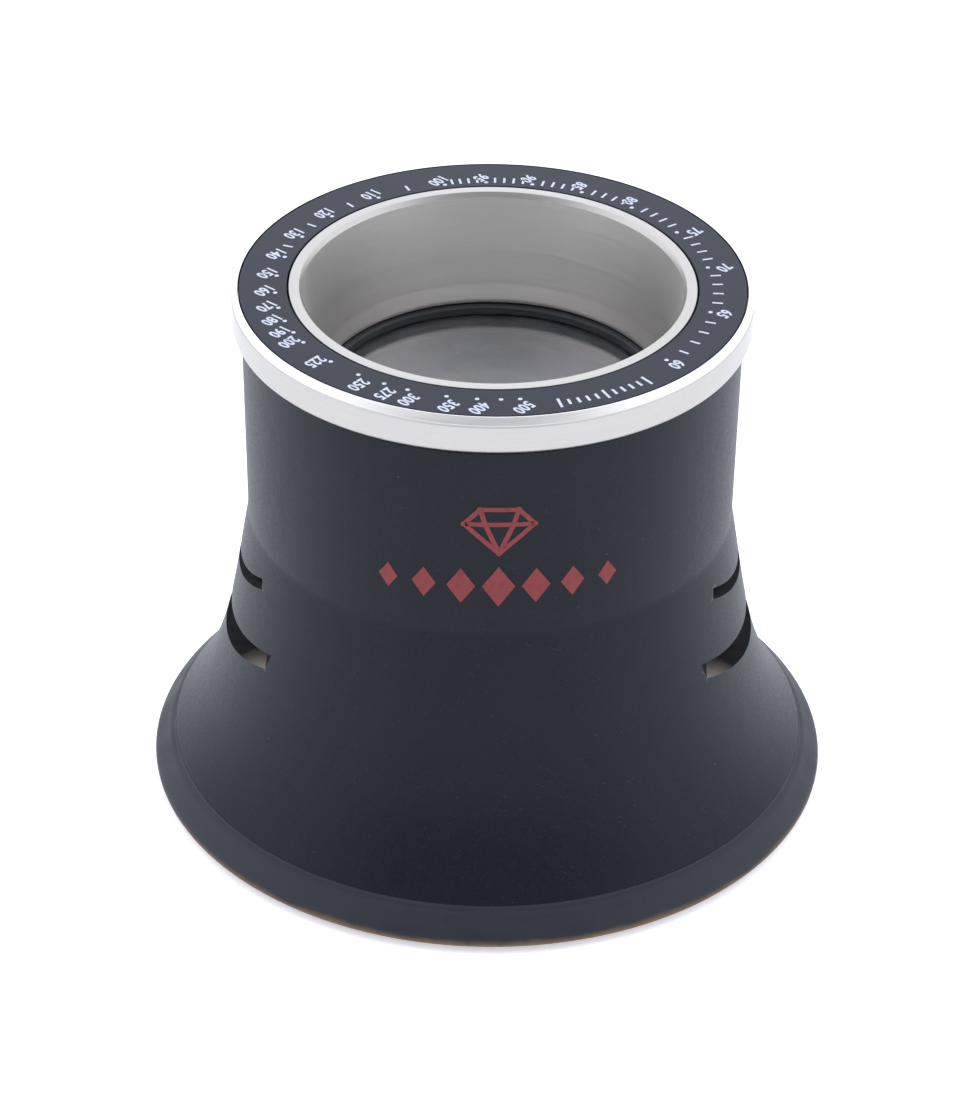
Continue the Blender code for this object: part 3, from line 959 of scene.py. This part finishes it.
def build_cell():
    bore = satin_metal("bore_satin", (0.755, 0.74, 0.695), 0.42, 0.50, 0.06, 0.0015, grooved=0.0)
    wall = satin_metal("bezel_satin", (0.505, 0.49, 0.45), 0.26, 0.38, 0.04, 0.0015)
    cut = satin_metal("chamfer_bright", (0.88, 0.865, 0.805), 0.36, 0.46, 0.04, 0.001)
    barrel = turned("barrel", barrel_outline(), bore, wall)
    for face in barrel.data.polygons:
        if face.center.z > (TOP - LIP_CHAMFER[1]) * MM:
            face.material_index = 1
    combine(barrel, [helix("male_thread", MALE_CENTRE_R, MALE_TURNS)], "UNION")
    finish_shading(barrel)
    place_piece(barrel, "lens_cell", "barrel_metal", "lens_barrel")

    bezel = turned("bezel", bezel_outline(), wall, cut)
    for face in bezel.data.polygons:
        above_groove = face.center.z > (TOP - BEZEL_CHAMFER[1] + 0.04) * MM
        if above_groove and face.center.xy.length > RECESS_R * MM:
            face.material_index = 1
    finish_shading(bezel)
    place_piece(bezel, "lens_cell", "bezel_metal", "bezel_ring")

    insert_top = INK_TOP - 0.6 * INK_THICKNESS
    insert_outline = ring(INSERT_R, INSERT_INNER_R, INSERT_BOTTOM, insert_top, 0.05)
    insert = turned("dial", insert_outline, scale_black())
    finish_shading(insert)
    place_piece(insert, "lens_cell", "scale_insert", "scale_insert")
    numbers = scale_print(ink("pale_ink", (0.56, 0.60, 0.67), (0.38, 0.41, 0.47)))
    place_piece(numbers, "lens_cell", "scale_insert")

    black = matt_black("stack_black")
    stack = (
        ("seat", ring(LENS_R, SEAT_INNER_R, SEAT_BOTTOM, SEAT_TOP, 0.06), "lens_seat_ring"),
        ("spacer", ring(LENS_R, SPACER_INNER_R, SPACER_BOTTOM, SPACER_TOP, 0.10), "lens_spacer"),
        ("retainer", ring(LENS_R, RETAINER_INNER_R, RETAINER_BOTTOM, RETAINER_TOP, 0.15), "retaining_ring"),
    )
    for name, outline, node in stack:
        piece = turned(name, outline, black)
        if name == "retainer":
            combine(piece, spanner_cuts(), "DIFFERENCE")
        finish_shading(piece)
        place_piece(piece, "lens_cell", "matt_black", node)

    edge = ground_glass()
    for name, sizes, film, node in (
        ("lens_front", FRONT_LENS, 330.0, "front_lens"),
        ("lens_eye", EYE_LENS, 290.0, "eye_lens"),
    ):
        lens = turned(name, lens_outline(*sizes), coated_glass(name + "_glass", film), edge)
        for face in lens.data.polygons:
            if Vector(face.center).xy.length > (LENS_R - 0.10) * MM:
                face.material_index = 1
        finish_shading(lens)
        place_piece(lens, "lens_cell", "lens_glass", node)

    seal = turned("seal", seal_outline(), matt_black("seal_rubber_black", (0.010, 0.010, 0.011), 0.45))
    finish_shading(seal)
    place_piece(seal, "cell_carrier", "seal_rubber", "cell_seal")


# ---- studio --------------------------------------------------------------------------------------


def build_floor():
    mesh = bmesh.new()
    bmesh.ops.create_circle(mesh, cap_ends=True, segments=96, radius=900.0)
    bmesh.ops.translate(mesh, vec=(0, 0, -0.02), verts=mesh.verts)
    finish = Finish("floor_white", (0.90, 0.90, 0.90), 0.7, Specular_IOR_Level=0.2)
    finish.set("Emission Color", (*SKY, 1.0))
    finish.set("Emission Strength", FLOOR_GLOW)
    paper = finish.noise(0.8, 3.0)
    finish.color(finish.mix(paper, (0.89, 0.89, 0.89), (0.91, 0.91, 0.91)))
    new_object("floor", mesh, [finish.material])


def build_light():
    """A white light tent that is dimmer on the front side, above the horizon."""
    world = bpy.data.worlds.new("light_tent")
    bpy.context.scene.world = world
    world.use_nodes = True
    tree = world.node_tree
    background = tree.nodes["Background"]
    background.inputs["Color"].default_value = (*SKY, 1.0)
    direction = tree.nodes.new("ShaderNodeTexCoord").outputs["Generated"]
    facing = tree.nodes.new("ShaderNodeVectorMath")
    facing.operation = "DOT_PRODUCT"
    facing.inputs[1].default_value = DIM_DIRECTION
    tree.links.new(direction, facing.inputs[0])
    fade = tree.nodes.new("ShaderNodeMapRange")
    fade.interpolation_type = "SMOOTHSTEP"
    for key, value in zip(("From Min", "From Max"), DIM_FADE):
        fade.inputs[key].default_value = value
    fade.inputs["To Min"].default_value = TENT_STRENGTH
    fade.inputs["To Max"].default_value = DIM_STRENGTH
    tree.links.new(facing.outputs["Value"], fade.inputs["Value"])
    tree.links.new(fade.outputs["Result"], background.inputs["Strength"])


def build_camera():
    """Stands about 218 mm from the loupe's top, 33 degrees up and a degree to the right, slightly rolled."""
    azimuth = math.radians(0.9)
    elevation = math.radians(33.25)
    roll = math.radians(0.7)
    distance = 217.6
    off_centre = (0.34, 14.26)  # how far the aim passes right of the top's centre, and below it
    back = Vector((0.0, -math.cos(elevation), math.sin(elevation)))
    up = Vector((0.0, math.sin(elevation), math.cos(elevation)))
    place = Vector((0, 0, TOP)) + distance * back - off_centre[1] * up
    place.x -= off_centre[0]
    data = bpy.data.cameras.new("camera")
    data.sensor_width = 36.0
    data.lens = 133.1
    data.clip_start = 0.01
    data.clip_end = 10.0
    camera = bpy.data.objects.new("camera", data)
    camera.matrix_world = (
        Matrix.Rotation(azimuth, 4, "Z")
        @ Matrix.Translation(place * MM)
        @ Matrix.Rotation(math.pi / 2 - elevation, 4, "X")
        @ Matrix.Rotation(roll, 4, "Z")
    )
    bpy.context.scene.collection.objects.link(camera)
    bpy.context.scene.camera = camera


build_cup()
build_cell()
build_floor()
build_light()
build_camera()
bpy.context.scene.view_settings.view_transform = "Standard"

bpy.context.view_layer.update()
